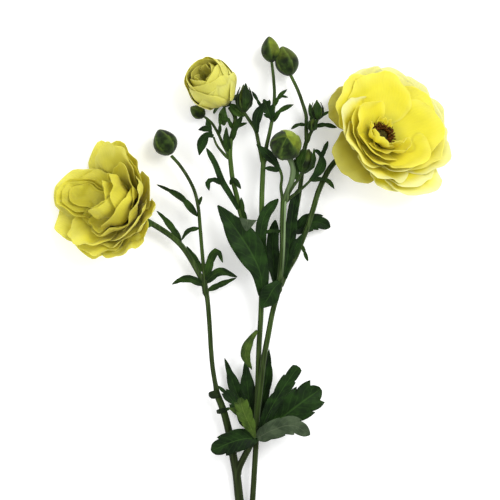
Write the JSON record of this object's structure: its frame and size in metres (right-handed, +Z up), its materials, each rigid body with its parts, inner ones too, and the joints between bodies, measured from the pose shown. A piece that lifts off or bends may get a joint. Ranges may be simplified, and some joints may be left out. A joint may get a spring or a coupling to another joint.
{
  "type": "ranunculus flower spray",
  "caption": "Cut branched spray of yellow ranunculus with full layered blooms, a half-open bloom, green buds and cut leaves, lying flat on its back.",
  "frame": {"origin": "centre of the bounding box on the surface that the spray lies on", "axes": "+Y along the spray from the cut foot to the tall bud, +Z up from the surface, blooms facing up"},
  "size_m": [0.2174, 0.3001, 0.0417],
  "materials": {
    "stem_green": "matte",
    "leaf_green": "matte",
    "light_leaf_green": "matte",
    "underside_green": "matte",
    "bud_green": "matte",
    "bright_yellow": "matte",
    "deep_yellow": "matte",
    "pale_yellow": "matte",
    "eye_brown": "matte"
  },
  "bodies": {
    "root": {"stem_branched": "stem_green", "leaf_basal_left": "leaf_green", "leaf_basal_light": "light_leaf_green", "leaf_basal_upright": "leaf_green", "leaf_basal_right": "leaf_green", "leaf_basal_underside": "underside_green", "leaf_light_curl": "light_leaf_green", "leaf_large_left": "leaf_green", "leaf_node_hanging": "leaf_green", "leaf_arched_lobe": "leaf_green", "leaf_middle_back": "leaf_green", "leaf_broad_back": "leaf_green", "leaf_right_upper": "leaf_green", "leaf_right_lower": "leaf_green", "leaf_right_top": "leaf_green", "leaf_center_top": "leaf_green", "leaf_strap_left": "leaf_green", "leaf_small_left": "leaf_green", "leaf_top_lobed": "leaf_green", "leaf_top_broad": "leaf_green", "bud_left": "bud_green", "bud_tall": "bud_green", "bud_broad": "bud_green", "bud_round": "bud_green", "bud_shaded": "bud_green", "bud_leafy_right": "bud_green", "bud_small_dark": "bud_green", "bud_leafy_front": "bud_green", "bud_leafy_center": "bud_green", "bloom_right_calyx": "bud_green", "bloom_right_petals": "bright_yellow", "bloom_right_eye": "eye_brown", "bloom_left_calyx": "bud_green", "bloom_left_petals": "deep_yellow", "bloom_left_eye": "eye_brown", "bloom_half_open_calyx": "bud_green", "bloom_half_open_petals": "pale_yellow"}
  },
  "joints": []
}
